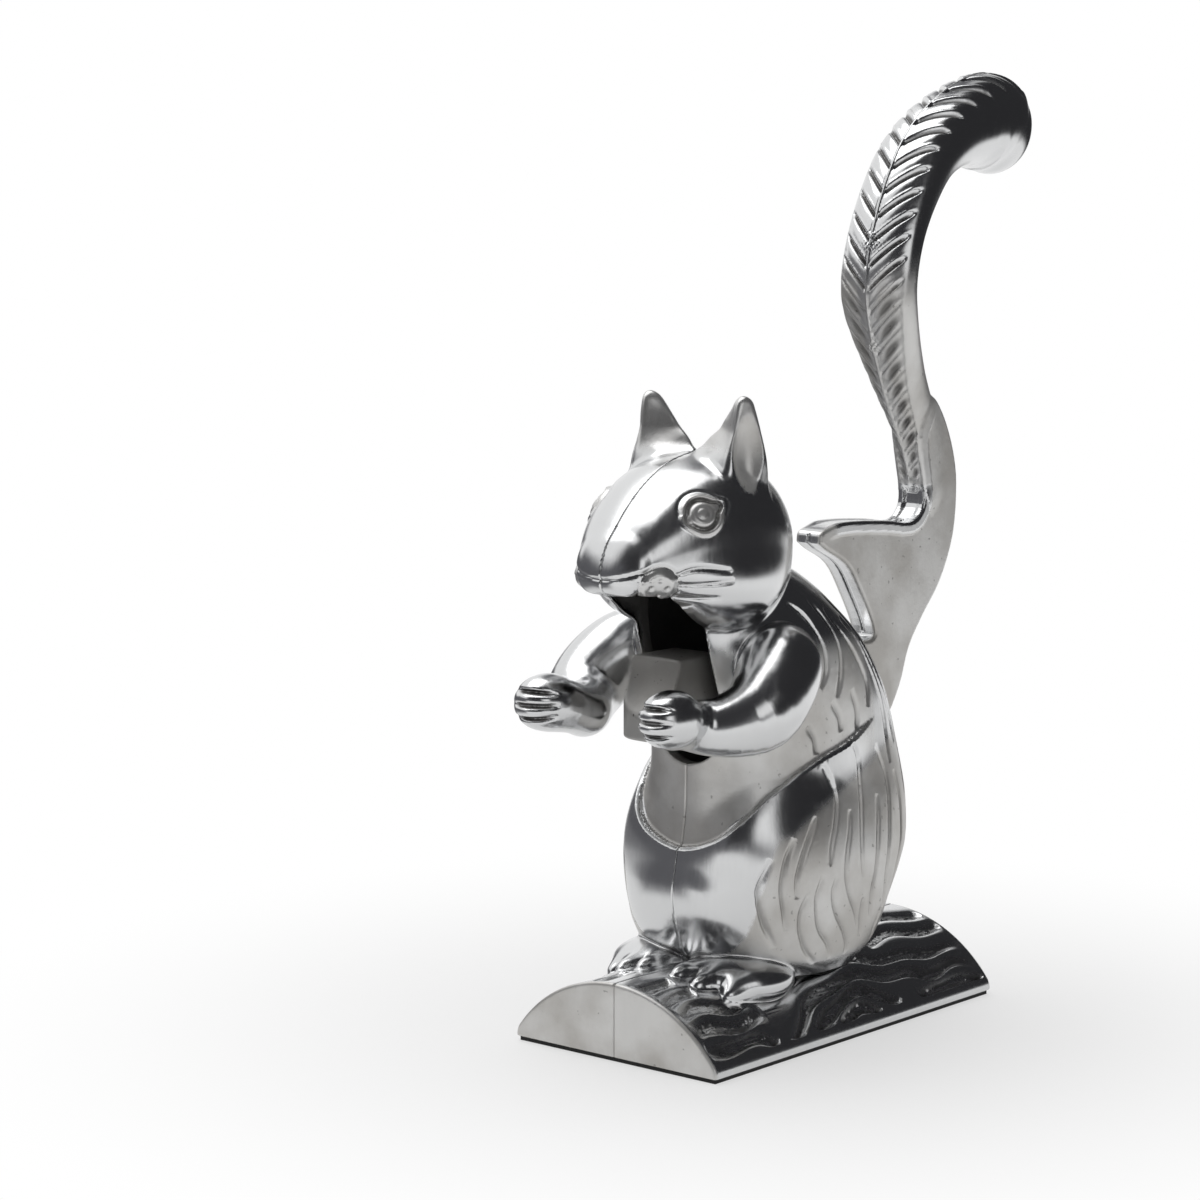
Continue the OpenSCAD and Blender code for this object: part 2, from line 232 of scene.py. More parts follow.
def head(p, inset=0.0):
    """Field of the head, its lower half fuller than an oval."""
    row = curve(HEAD, p[:, 1])
    half = np.maximum(row[:, 3] * HEAD_W / 2 - inset, 0.5)
    tall = np.maximum((row[:, 2] - row[:, 1]) / 2 - inset, 0.5)
    level = (p[:, 2] - (row[:, 1] + row[:, 2]) / 2) / tall
    level = np.where((level < 0) & (level > -1), -np.abs(level) ** 1.5, level)
    side = oval(p[:, 0], level * tall, half, tall, 2.2)
    return blend_max(side, np.maximum(p[:, 1] - NAPE + inset, SNOUT + inset - p[:, 1]), 1.5)


def log_block(p, inset=0.0):
    """Field of the half log, its top an arch over the whole width."""
    half, rise = LOG_W / 2, LOG_H - LOG_LIP
    arch = (half * half + rise * rise) / (2 * rise)
    top = np.hypot(p[:, 0], p[:, 2] - LOG_H + arch) - arch + inset
    sides = np.abs(p[:, 0]) - half + inset
    ends = np.abs(p[:, 1]) - LOG_LEN / 2 + inset
    out = blend_max(blend_max(top, sides, 0.8), ends, 1.0)
    return blend_max(out, PAD_T + inset - p[:, 2], 0.6)


# Corners of the ear's section at each height: z, then x and y of the inner edge, the front inner edge,
# the front outer edge, the rear outer edge and the rear
EAR = [[133, 0, -28.0, 4.0, -32.4, 14.8, -32.4, 18.8, -22.6, 9.0, -16.0],
       [138, 0, -28.0, 4.0, -32.4, 14.8, -32.4, 18.8, -22.6, 9.0, -16.0],
       [142, 0, -26.5, 6.4, -30.9, 14.6, -31.5, 18.7, -23.0, 9.0, -18.8],
       [145, 2.6, -25.2, 9.5, -29.3, 14.4, -30.5, 18.3, -23.4, 9.2, -20.8],
       [148, 5.4, -25.0, 11.3, -28.1, 14.2, -29.8, 17.7, -23.8, 10.4, -22.1],
       [151, 8.2, -24.9, 11.8, -27.6, 14.2, -29.1, 17.1, -24.2, 11.6, -22.9],
       [154, 10.8, -24.8, 12.4, -27.2, 14.3, -28.3, 16.5, -24.8, 13.0, -23.6],
       [157, 12.9, -25.4, 13.6, -27.0, 14.6, -27.3, 15.7, -25.3, 13.9, -24.4]]


def ear(p):
    """Field of one ear: a horn of five corners with a scoop in its outer face."""
    row = curve(EAR, p[:, 2])
    corners = [(row[:, i], row[:, i + 1]) for i in range(1, row.shape[1], 2)]
    horn = convex(p[:, 0], p[:, 1], corners, 1.6) - 0.5
    horn = blend_max(horn, p[:, 2] - EAR[-1][0], 2.5)
    return blend_max(horn, -egg(p, *SCOOP), 0.8)


def foot(p):
    """One foot: a broad instep with three short toes before it."""
    out = egg(p, *TOES[0])
    for toe in TOES[1:]:
        out = np.minimum(out, egg(p, *toe))
    return blend_min(out, egg(p, *INSTEP), 2)


def arm(p):
    return limb(p, ARM, 1)


def form(p):
    """Field of the outside without its relief, on the left side."""
    body = blend_min(torso(p), egg(p, *HAUNCH), 3)
    body = blend_min(body, within(p, FOOT_BOX, foot), 1.0)
    body = blend_min(body, log_block(p), 0.8)
    skull = blend_min(head(p), egg(p, *JOWL), 6)
    skull = blend_min(skull, within(p, EAR_BOX, ear), 1.6)
    body = blend_min(body, skull, 1.5)
    return blend_min(body, within(p, ARM_BOX, arm), 1.0)


# Grooves of the fur on the flank and back, as [y, z] on the side
FUR = [
    [[-25, 47], [-27, 41], [-27, 37], [-25.5, 31], [-22.5, 25]],
    [[-19.5, 51.5], [-22, 46.5], [-23, 40], [-22, 34], [-21, 29]],
    [[-12.5, 56], [-15.5, 51.5], [-18, 47], [-19.5, 42], [-19.5, 37]],
    [[-16.5, 38], [-18, 33.5], [-17.5, 28.5], [-15, 23.5], [-11, 19.5]],
    [[-12.5, 42], [-14, 37], [-13.5, 32], [-12, 28], [-9, 24.5], [-6.5, 20.5]],
    [[-8, 41], [-9, 37], [-7.5, 32], [-4, 27], [-1.5, 23], [-1, 20.5]],
    [[-7.5, 67.5], [-5, 63], [-4.5, 59], [-6.5, 54], [-9, 49], [-10.5, 44]],
    [[-0.5, 56], [-2, 51], [-4, 46], [-4.5, 41], [-3, 36], [0, 31], [2, 26]],
    [[3.5, 71.5], [5.5, 68], [5.5, 63], [4.5, 57], [3, 51], [2, 45], [2.5, 39]],
    [[11.5, 58], [10.5, 52], [9, 46], [8, 40], [6.5, 34], [7, 28]],
    [[14.5, 69], [17, 63], [17, 57], [15.5, 50], [14, 43], [13.5, 36], [14.5, 29]],
    [[3, 34], [2.5, 30], [3.5, 24]], [[13, 29], [11.5, 25], [12.5, 21]],
    [[22.5, 62], [23.5, 55], [22.5, 47], [20.5, 39], [19.5, 32]],
    [[29, 52], [29, 45], [27, 38], [25, 32]]]
BACK_FUR = [
    [[-14, 107], [-8, 102.5], [-4.5, 96], [-4.5, 90], [-7, 86]],
    [[-17, 103.5], [-13, 101], [-9.5, 96], [-9, 91], [-11, 87]],
    [[-5, 107], [0, 101], [2, 95], [1, 88], [-1, 83]],
    [[1, 104], [6, 97], [10, 91], [12.5, 85], [12, 79]],
    [[4, 107], [11, 102], [15, 96], [19, 89], [22, 82], [25, 75], [26.5, 68]],
    [[8, 101], [13, 95], [16.5, 88], [19.5, 80], [21, 72], [21, 64]],
    [[10, 106], [17, 101], [22, 94], [27, 85], [31, 75], [33, 64], [33, 54]],
    [[27, 79], [29.5, 71], [30.5, 63], [29.5, 55]],
    [[-11, 77], [-8.5, 73.5], [-8, 70]], [[-3, 82], [0, 78], [0.5, 74.5]], [[5, 84], [7, 79], [7, 74]]]
BARK_R = 38.0    # radius that the bark is laid round
# Grooves of the bark, as [y, distance from the crown round the arch]
BARK = [
    [[-26, 35], [-18, 30.5], [-11, 26], [0, 22.8], [12, 22.8], [24, 25.4], [36, 27.6], [46, 27.4],
     [55, 29]],
    [[-15, 34.5], [-9, 30.6], [-1, 27.6], [7, 27.2], [14, 29.4], [20, 32.5]],
    [[-5, 34.3], [-2, 32.4], [3, 31.6], [8, 32.4], [10, 34.3]],
    [[27, 33], [36, 32], [46, 33], [55, 32.6]],
    [[-55, 31.5], [-45, 30], [-36, 31], [-30, 33.5]],
    [[-54, 25.6], [-46, 24.6], [-37, 26.4], [-29, 25]],
    [[-54, 19.4], [-45, 18.4], [-36, 20.4], [-28, 19.6]],
    [[-20, 20.5], [-8, 17.6], [2, 16.8], [16, 17.8], [28, 20.6], [42, 21.8], [55, 23.4]],
    [[24, 14], [33, 12.6], [44, 14], [55, 16.4]], [[29, 7.4], [38, 5.6], [48, 7], [55, 9.4]],
    [[-55, 13.4], [-49, 12.6], [-42, 14]], [[-55, 7], [-49, 6], [-43, 7.4]]]
# Height of the crease above the thigh, against degrees round the body from the front
THIGH = [[0, 48], [10, 49], [20, 51.5], [30, 56], [40, 61], [53, 65], [69, 68.5], [96, 72], [115, 75],
         [140, 79]]
# Upper edge of the flank's matte part, as [y, z]
FLANK = [[-29, 18], [-27, 36], [-25, 46], [-19, 52.5], [-12.5, 56.5], [0, 61.5], [12, 66], [24, 70],
         [42, 76]]
EYE = {"at": (16.1, -43.2, 130.4), "out": (0.80, -0.50, 0.33)}
PAD = {"at": (11.2, -53.2, 114.0), "out": (0.72, -0.66, -0.2)}
WHISKERS = [[[-51, 116.4], [-46, 118], [-38.5, 117.2]], [[-51, 114.6], [-46, 114.2], [-38, 114.8]],
            [[-51, 112.8], [-47, 111.2], [-40, 110.8]], [[-51.5, 111], [-48, 109.2], [-44, 108.4]]]


def face_frame(p, place):
    """Coordinates on a patch of the face: rearward along it, up along it, and out of it."""
    out = np.array(place["out"])
    out /= np.linalg.norm(out)
    back = np.cross([0, 0, 1], out)
    back /= np.linalg.norm(back)
    q = p - np.array(place["at"])
    return q @ back, q @ np.cross(out, back), q @ out


def ring(r, middle, width):
    """1 on a circle round the origin, fading to both sides of it."""
    return np.exp(-((r - middle) / width) ** 2)


def eye(p):
    """Carving of the eye: brow, lid, groove and ball, with pointed corners."""
    back, up, out = face_frame(p, EYE)
    r, turn = np.hypot(back, up), np.arctan2(up, back)
    corner = 1.7 * np.exp(-((turn - 0.45) / 0.30) ** 2) + 0.8 * np.exp(-((turn + 2.75) / 0.35) ** 2)
    lid = r - corner
    carve = 0.35 * ring(lid, 5.6, 0.65) * smooth(-3, 2, up) - 0.45 * ring(lid, 4.6, 0.6)
    carve += 0.75 * ring(lid, 3.65, 0.5) - 0.3 * ring(lid, 4.9, 0.8) * smooth(0, 3, up)
    ball = np.sqrt(np.clip(1 - (r / 3.3) ** 2, 0, 1))
    carve -= 1.0 * ball - 0.2 * ring(r, 1.5, 0.4)
    return carve * (np.abs(out) < 6)


def muzzle(p):
    """Carving of the whisker pad, the whiskers and the lip."""
    back, up, out = face_frame(p, PAD)
    r = np.hypot(back, up)
    carve = -1.1 * smooth(5.0, 3.0, r) + 0.25 * ring(r, 5.0, 0.5)
    for at in ((-1.9, 0.2), (0.1, 1.9), (1.9, -0.1), (-0.3, -2.0)):
        carve += 0.45 * np.exp(-((back - at[0]) ** 2 + (up - at[1]) ** 2) / 0.5 ** 2)
    carve *= np.abs(out) < 5
    # whiskers swept back over the cheek
    side = smooth(9, 12, p[:, 0])
    carve += side * furrows(p[:, 1], p[:, 2], WHISKERS, 0.6, 0.5)
    # the lip band under the nose
    front = smooth(-54, -57, p[:, 1])
    carve += front * 0.5 * np.exp(-((p[:, 2] - 115.6 - 0.02 * p[:, 0] ** 2) / 0.45) ** 2)
    carve += front * 0.25 * smooth(115.6, 115.2, p[:, 2])
    return carve


def thigh(p):
    """Distance above the crease over the thigh, and how far the crease has faded."""
    round_body = np.degrees(np.arctan2(p[:, 0], -p[:, 1]))
    line = curve(THIGH, np.abs(round_body))[:, 1]
    return (p[:, 2] - line) * 0.85, smooth(125, 95, np.abs(round_body))


def relief(p):
    """How deep the surface is carved at each point, negative where it stands proud."""
    x, y, z = p.T
    carve = np.zeros(len(p))
    flank = (z > 17) & (z < 80) & (x > 6)
    carve[flank] = furrows(y[flank], z[flank], FUR, 0.6, 0.7)
    above, keen = thigh(p)
    belly = (z > 30) & (z < 90) & (y > -40)
    rise = np.where(above < 0, np.exp(-(above / 7) ** 2), 0) * smooth(0.8, -0.8, above)
    sunk = 0.5 * smooth(-0.8, 0.8, above) * np.exp(-np.maximum(above, 0) / 4)
    carve -= belly * keen * (rise - sunk)
    back = (z > 50) & (z < 112) & (x > 3) & (y > -30)
    q = p[back]
    clear = smooth(0.8, 3, arm(q)) * smooth(1, 4, np.minimum(head(q), egg(q, *JOWL)))
    carve[back] += clear * furrows(y[back], z[back], BACK_FUR, 0.7, 0.8)
    for box, field in ((EYE_BOX, eye), (MUZZLE_BOX, muzzle)):
        carve += within(p, box, field, 0.0)
    paw = (y < -57) & (x > 8) & (z > 74) & (z < 95)
    if paw.any():
        fan = 84.5 + (z[paw] - 84.5) * (1 + 0.05 * (y[paw] + 66))
        grooves = sum(np.exp(-((fan - at) / 0.65) ** 2) for at in (88.0, 84.6, 81.2))
        carve[paw] += 1.2 * grooves * smooth(-60, -63, y[paw]) * smooth(25, 20, x[paw])
    bark = (z < 21) & (np.abs(y) < 55.5) & (np.abs(log_block(p)) < 1.2)
    if bark.any():
        q = p[bark]
        round_log = BARK_R * np.arcsin(np.clip(q[:, 0] / BARK_R, -0.99, 0.99))
        clear = smooth(0.5, 3, np.minimum(torso(q), egg(q, *HAUNCH))) * smooth(34.6, 33.4, round_log)
        clear *= smooth(0.2, 1.5, within(q, FOOT_BOX, foot))
        wave = 0.7 * np.sin(0.31 * q[:, 1] + 0.2 * round_log)
        ends = smooth(55.5, 53.5, np.abs(q[:, 1]))
        carve[bark] += clear * ends * furrows(q[:, 1], round_log + wave, BARK, 1.9, 1.6)
    return carve


def outside(p):
    """Field of the outside with its relief, on the left side."""
    gap = form(p)
    near = np.flatnonzero(np.abs(gap) < 3)
    gap[near] += relief(p[near])
    return gap


def post(p, at, r):
    """Field of an endless cylinder across the split."""
    return np.hypot(p[:, 1] - at[0], p[:, 2] - at[1]) - r


def hollow(p, right):
    """Field of the room inside: the hollow castings less their bosses, with the mouths and the bores."""
    x, y, z = p.T
    side = np.abs(x)
    room = blend_min(torso(p, WALL), log_block(p, WALL), 2)
    skull = np.maximum(head(p, WALL), np.maximum(ANVIL_REAR - y, ANVIL_Z - ANVIL_T - z))
    room = blend_min(room, skull, 2)
    room = np.minimum(room, (np.abs(p - np.array(THROAT)) - THROAT_HALF).max(1))
    for places, r in ((SCREWS, SCREW_R), (DOWELS, DOWEL_R)):
        for at in places:
            room = blend_max(room, -post(p, at, r + POST_T), 0.8)
    hub = np.maximum(post(p, PIVOT, HUB_R), BOSS_FACE - side)
    room = blend_max(room, -hub, 0.8)
    arch = np.hypot(x, np.minimum(z - CHEST_LOW - CHEST_W / 2, 0)) - CHEST_W / 2
    chest = np.maximum(np.maximum(arch, z - ANVIL_Z), y - CHEST_REAR)
    slot = np.maximum(SLOT_LOW - z, z - SLOT_HIGH)
    slot = np.maximum(slot, np.maximum(side - SLOT_W / 2, SLOT_FRONT - y))
    room = np.minimum(room, np.minimum(chest, slot))
    room = np.minimum(room, np.maximum(post(p, PIVOT, PIN_R + PIN_PLAY), side - PIN_DEEP))
    for at in DOWELS:
        room = np.minimum(room, np.maximum(post(p, at, DOWEL_R), side - DOWEL_DEEP))
    for at in SCREWS:
        if right:
            room = np.minimum(room, post(p, at, SCREW_R + SCREW_PLAY))
            room = np.minimum(room, np.maximum(post(p, at, SCREW_HEAD_R), SCREW_SEAT - side))
        else:
            room = np.minimum(room, np.maximum(post(p, at, SCREW_R), side - SCREW_DEEP))
    return room


def casting(right):
    """Field of one half shell, sculpted on the left side of the split."""
    def field(p):
        shell = blend_max(outside(p), -hollow(p, right), 0.5)
        return blend_max(shell, SPLIT_GAP - p[:, 0], SPLIT_EDGE)
    return field


# ---------------- the lever

WEB_T, TAIL_W = 8.0, 22.0
# Front ridge of the tail: y, z, half width as a share of the tail's width, depth
TAIL = [[61.7, 127.6, 0.17, 9], [57.7, 137.7, 0.19, 14], [49.1, 153.3, 0.30, 14],
        [42.9, 169.8, 0.46, 11.5], [41.7, 181, 0.5, 10.6], [44.3, 193.2, 0.5, 11.2],
        [49.4, 204.9, 0.5, 13], [56.7, 215.8, 0.5, 15.5], [66.7, 223.9, 0.5, 18.5],
        [78.2, 229.4, 0.5, 22], [88, 231.9, 0.5, 24.5], [95.5, 230.4, 0.48, 24.5],
        [99, 228.4, 0.46, 24]]
TAIL_END = (0, 95, 219), (0.46 * TAIL_W, 12.4, 12.4)
TAIL_CUT_Z = 190.0    # the blade is cut past its last row only above this height
WEB_BACK = [[18.2, 116.8], [19.2, 119.6], [25.5, 120.9], [34, 120.8], [46, 119.8], [56, 118.6], [61, 121],
            [62.4, 126.3], [60, 140], [64, 148], [66.8, 149.6], [71.2, 144.6], [75.2, 136],
            [76.9, 127], [75.6, 114], [70.1, 102.6], [62.5, 94.2], [56.5, 86.5], [52.6, 77],
            [46, 68.5], [36, 66]]
WEB_FRONT = [[26, 89], [34, 90.5], [40.6, 90.5], [41.3, 93.5], [36.3, 102], [30, 110.2], [21, 115]]
ARM_OUTLINE = [[22, 69], [-29, 75], [-29, 92], [14, 90], [30, 86]]
JAW = {"half": 7.5, "rear": -25.0, "front": -46.5, "top": 95.0, "low": 75.5, "round": 12.0,
       "cup": (-57.0, 95.6), "cup_r": 17.5}


def outlined(u, v, outline):
    """Signed distance to a closed outline in a plane, negative inside."""
    best = np.full(len(u), 1e9)
    odd = np.zeros(len(u), bool)
    for a, b in zip(outline, np.roll(outline, -1, axis=0)):
        run = b - a
        t = np.clip(((u - a[0]) * run[0] + (v - a[1]) * run[1]) / (run @ run + 1e-12), 0, 1)
        best = np.minimum(best, (u - a[0] - t * run[0]) ** 2 + (v - a[1] - t * run[1]) ** 2)
        crosses = (a[1] > v) != (b[1] > v)
        if abs(run[1]) > 1e-12:
            odd ^= crosses & (u < a[0] + (v - a[1]) * run[0] / run[1])
    return np.where(odd, -1, 1) * np.sqrt(best)


TAIL_FINE = through(TAIL, 9)
TAIL_RUN = np.concatenate([[0], np.cumsum(np.hypot(*np.diff(TAIL_FINE[:, :2], axis=0).T))])


def along_tail(p):
    """For each point: distance run along the ridge, depth behind it, half width and full depth there."""
    best = np.full(len(p), 1e9)
    depth = np.zeros(len(p))
    total = np.full(len(p), 1e-300)
    mean = np.zeros((3, len(p)))
    for i in range(len(TAIL_FINE) - 1):
        a, b = TAIL_FINE[i], TAIL_FINE[i + 1]
        run = b[:2] - a[:2]
        long = math.hypot(*run)
        t = ((p[:, 1] - a[0]) * run[0] + (p[:, 2] - a[1]) * run[1]) / long ** 2
        t = np.clip(t, 0, 1)
        behind = ((p[:, 1] - a[0]) * run[1] - (p[:, 2] - a[1]) * run[0]) / long
        gap = np.hypot(p[:, 1] - a[0] - t * run[0], p[:, 2] - a[1] - t * run[1])
        near = gap < best
        best[near] = gap[near]
        depth[near] = (np.sign(behind) * gap)[near]
        # the rest is a mean over the ridge's nearest stretch, so that it stays smooth inside the curl
        share = long * np.exp(-np.minimum(gap, 44) ** 2 / 3)
        total += share
        mean[0] += share * (TAIL_RUN[i] + t * long)
        mean[1] += share * ((a[2] + (b[2] - a[2]) * t) * TAIL_W)
        mean[2] += share * (a[3] + (b[3] - a[3]) * t)
    run, half, deep = mean / total
    return run, depth, half, deep


def tail(p):
    """Field of the tail: an oval blade behind the ridge, closed by a ball."""
    _, behind, half, deep = along_tail(p)
    blade = oval(p[:, 0], behind - deep / 2, np.maximum(half, 0.5), deep / 2, 2.2)
    before, last = TAIL_FINE[-2], TAIL_FINE[-1]
    way = (last - before)[:2] / math.hypot(*(last - before)[:2])
    past = (p[:, 1] - last[0]) * way[0] + (p[:, 2] - last[1]) * way[1]
    blade = blend_max(blade, np.where(p[:, 2] > TAIL_CUT_Z, past, -30), 3)
    return blend_min(blade, egg(p, *TAIL_END), 5)


WEB_OUTLINE = np.concatenate([through(WEB_BACK, 4), through(WEB_FRONT, 4)])
BEAD = through(WEB_BACK[1:10], 3)
KNOTS = [(191, 1.9), (164, 1.5)]    # rough spots on the ridge: height and size
BARBS, BARB_START, BARB_SPREAD = 30, 12, 112


def tail_relief(p):
    """Ridge and barbs of the tail's outer face, carved ever further apart towards the tip."""
    run, behind, half, deep = along_tail(p)
    side = np.abs(p[:, 0])
    share = side / np.maximum(half, 1)
    front = smooth(0.5, 0.3, behind / deep) * smooth(0, 4, run) * smooth(149, 138, run)
    barb = BARBS * np.log1p(np.maximum(run - 0.95 * side + BARB_START, 0) / BARB_SPREAD)
    part = barb - np.floor(barb)
    cut = np.exp(-(np.minimum(part, 1 - part) / 0.1) ** 2)
    lip = np.exp(-((part - 0.22) / 0.09) ** 2)
    band = smooth(0.35, 1.0, side) * smooth(0.92, 0.66, share)
    low = smooth(64, 48, run)
    carve = band * (1 - 0.6 * low) * (0.9 * cut - 0.2 * lip - 0.35 * np.sin(np.pi * part) + 0.15)
    carve += low * 1.1 * np.exp(-((part - 0.5) / 0.28) ** 2 - ((share - 0.48) / 0.27) ** 2)
    carve -= 0.35 * np.exp(-(side / 0.4) ** 2) + 0.3 * ring(share, 0.9, 0.07) * low
    for height, size in KNOTS:
        grain = np.sin(5 * p[:, 0] + height) * np.sin(4.3 * p[:, 2])
        carve -= (0.4 + 0.35 * grain) * np.exp(-((p[:, 2] - height) ** 2 + side ** 2) / size ** 2)
    return front * carve


def web_relief(p):
    """The bead along the hook's upper edge and the parting line down its front."""
    y, z = p[:, 1], p[:, 2]
    gap = np.full(len(p), 1e9)
    for (ay, az), (by, bz) in zip(BEAD[:-1], BEAD[1:]):
        ry, rz = by - ay, bz - az
        t = np.clip(((y - ay) * ry + (z - az) * rz) / (ry * ry + rz * rz), 0, 1)
        gap = np.minimum(gap, np.hypot(y - ay - t * ry, z - az - t * rz))
    bead = -0.45 * smooth(3.2, 2.2, gap) * smooth(150, 138, z)
    bead *= smooth(1.5, 3, np.abs(p[:, 0])) * smooth(21, 27, y)
    parting = 0.3 * np.exp(-(p[:, 0] / 0.35) ** 2) * (z < 119) * (z > 92)
    return bead + parting


def jaw(p):
    """Field of the block at the arm's end, round in front, with a cup in its top."""
    x, y, z = p.T
    block = np.maximum(np.abs(x) - JAW["half"], np.maximum(y - JAW["rear"], JAW["front"] - y))
    block = blend_max(block, np.hypot(x, y - JAW["front"] - JAW["round"]) - JAW["round"], 1)
    middle, tall = (JAW["top"] + JAW["low"]) / 2, (JAW["top"] - JAW["low"]) / 2
    block = blend_max(block, np.abs(z - middle) - tall, 1)
    cup = np.linalg.norm(p - np.array([0, *JAW["cup"]]), axis=1) - JAW["cup_r"]
    return blend_max(block, -cup, 1)


def lever(p):
    """Field of the one-piece lever."""
    x, y, z = p.T
    flat = outlined(y, z, WEB_OUTLINE)
    flat = np.minimum(flat, outlined(y, z, np.array(ARM_OUTLINE, float)))
    flat = np.minimum(flat, post(p, PIVOT, HUB_R))
    web = blend_max(flat, np.abs(x) - WEB_T / 2, 1.0)
    near = np.abs(web) < 2.5
    web[near] += web_relief(p[near])
    blade = tail(p)
    near = np.abs(blade) < 2.5
    blade[near] += tail_relief(p[near])
    out = blend_min(blend_min(web, blade, 2.0), jaw(p), 1)
    return np.maximum(out, -post(p, PIVOT, PIN_R + PIN_PLAY))


# ---------------- meshing

def evaluate(field, points, chunk=60000):
    """The field at the points, a few chunks at a time side by side."""
    pieces = [points[i:i + chunk] for i in range(0, len(points), chunk)]
    with concurrent.futures.ThreadPoolExecutor(4) as pool:
        return np.concatenate(list(pool.map(field, pieces)))


def lattice(field, low, high, step):
    """The field on a grid, worked out in full only in the blocks near its zero."""
    block = 4
    low = np.asarray(low, float)
    count = np.ceil((np.asarray(high, float) - low) / step / block).astype(int)
    middles = np.stack(np.meshgrid(*[np.arange(n) for n in count], indexing="ij"), -1).reshape(-1, 3)
    rough = evaluate(field, low + (middles + 0.5) * block * step)
    near = np.abs(rough) < 1.3 * block * step + 1.2
    values = np.repeat(np.repeat(np.repeat(rough.reshape(count), block, 0), block, 1), block, 2)
    values = np.pad(values, ((0, 1),) * 3, mode="edge")
    shape = np.array(values.shape)
    corner = np.stack(np.meshgrid(*[np.arange(block + 1)] * 3, indexing="ij"), -1).reshape(-1, 3)
    fine = (middles[near][:, None, :] * block + corner[None]).reshape(-1, 3)
    flat = np.unique(np.ravel_multi_index(fine.T, shape))
    where = np.stack(np.unravel_index(flat, shape), -1)
    values.reshape(-1)[flat] = evaluate(field, low + where * step)
    return values, low


def nets(values, low, step):
    """Quads near the zero of a gridded field, one corner per crossed cell."""
    solid = values < 0
    nx, ny, nz = np.array(solid.shape) - 1
    cells = np.zeros((nx, ny, nz), np.int8)
    for dx, dy, dz in itertools.product((0, 1), repeat=3):
        cells += solid[dx:nx + dx, dy:ny + dy, dz:nz + dz]
    crossed = (cells > 0) & (cells < 8)
    index = np.full(cells.shape, -1, np.int64)
    index[crossed] = np.arange(crossed.sum())
    at = np.argwhere(crossed)
    total = np.zeros((len(at), 3))
    hits = np.zeros(len(at))
    for axis in range(3):
        others = [a for a in range(3) if a != axis]
        for shift in itertools.product((0, 1), repeat=2):
            start = at.copy()
            start[:, others] += shift
            end = start.copy()
            end[:, axis] += 1
            a, b = values[tuple(start.T)], values[tuple(end.T)]
            cut = (a < 0) != (b < 0)
            hit = start[cut].astype(float)
            hit[:, axis] += a[cut] / (a[cut] - b[cut])
            total[cut] += hit
            hits[cut] += 1
    corners = low + total / hits[:, None] * step
    quads = []
    for axis in range(3):
        u, v = [(1, 2), (2, 0), (0, 1)][axis]
        a = np.take(solid, range(0, solid.shape[axis] - 1), axis)
        b = np.take(solid, range(1, solid.shape[axis]), axis)
        edge = np.argwhere(a != b)
        edge = edge[(edge[:, u] > 0) & (edge[:, v] > 0)
                    & (edge[:, u] < solid.shape[u] - 1) & (edge[:, v] < solid.shape[v] - 1)]
        out = a[tuple(edge.T)]
        loop = []
        for du, dv in ((-1, -1), (0, -1), (0, 0), (-1, 0)):
            c = edge.copy()
            c[:, u] += du
            c[:, v] += dv
            loop.append(index[tuple(c.T)])
        loop = np.stack(loop, 1)
        loop[~out] = loop[~out][:, ::-1]
        quads.append(loop)
    return corners, np.concatenate(quads)


def slope(field, points, reach=0.05):
    """Gradient of the field at the points."""
    out = np.empty_like(points)
    for axis in range(3):
        shift = np.zeros(3)
        shift[axis] = reach
        out[:, axis] = (evaluate(field, points + shift) - evaluate(field, points - shift)) / (2 * reach)
    return out


def draw_on(field, corners, pull, step):
    """The corners pulled along the surface and drawn onto the field's zero."""
    grad = slope(field, corners)
    steep = np.maximum((grad ** 2).sum(1), 0.05)
    pull = pull - grad * ((pull * grad).sum(1) / steep)[:, None]
    move = pull - grad * (evaluate(field, corners) / steep)[:, None]
    longest = np.linalg.norm(move, axis=1)
    return corners + move * np.minimum(1, 0.6 * step / np.maximum(longest, 1e-9))[:, None]


def new_object(name, data):
    """New object in the scene with this data."""
    made = bpy.data.objects.new(name, data)
    bpy.context.scene.collection.objects.link(made)
    return made


def bare_mesh(name, corners, faces):
    """Mesh data from arrays; every face has as many corners as the rest."""
    mesh = bpy.data.meshes.new(name)
    mesh.vertices.add(len(corners))
    mesh.vertices.foreach_set("co", corners.astype(np.float32).ravel())
    mesh.loops.add(faces.size)
    mesh.loops.foreach_set("vertex_index", faces.astype(np.int32).ravel())
    mesh.polygons.add(len(faces))
    mesh.polygons.foreach_set("loop_start", np.arange(0, faces.size, faces.shape[1], dtype=np.int32))
    mesh.update(calc_edges=True)
    return mesh


def thin(corners, faces):
    """The mesh, its flattest triangles collapsed until no more than MOST are left."""
    if 2 * len(faces) <= MOST:
        return corners, faces
    rough = new_object("rough", bare_mesh("rough", corners, faces))
    collapse = rough.modifiers.new("collapse", "DECIMATE")
    collapse.ratio = MOST / (2 * len(faces))
    collapse.use_collapse_triangulate = True
    done = rough.evaluated_get(bpy.context.evaluated_depsgraph_get()).to_mesh()
    corners = np.empty(len(done.vertices) * 3, np.float32)
    done.vertices.foreach_get("co", corners)
    faces = np.empty(len(done.loops), np.int32)
    done.loops.foreach_get("vertex_index", faces)
    bpy.data.objects.remove(rough)
    return corners.reshape(-1, 3).astype(float), faces.reshape(-1, 3)


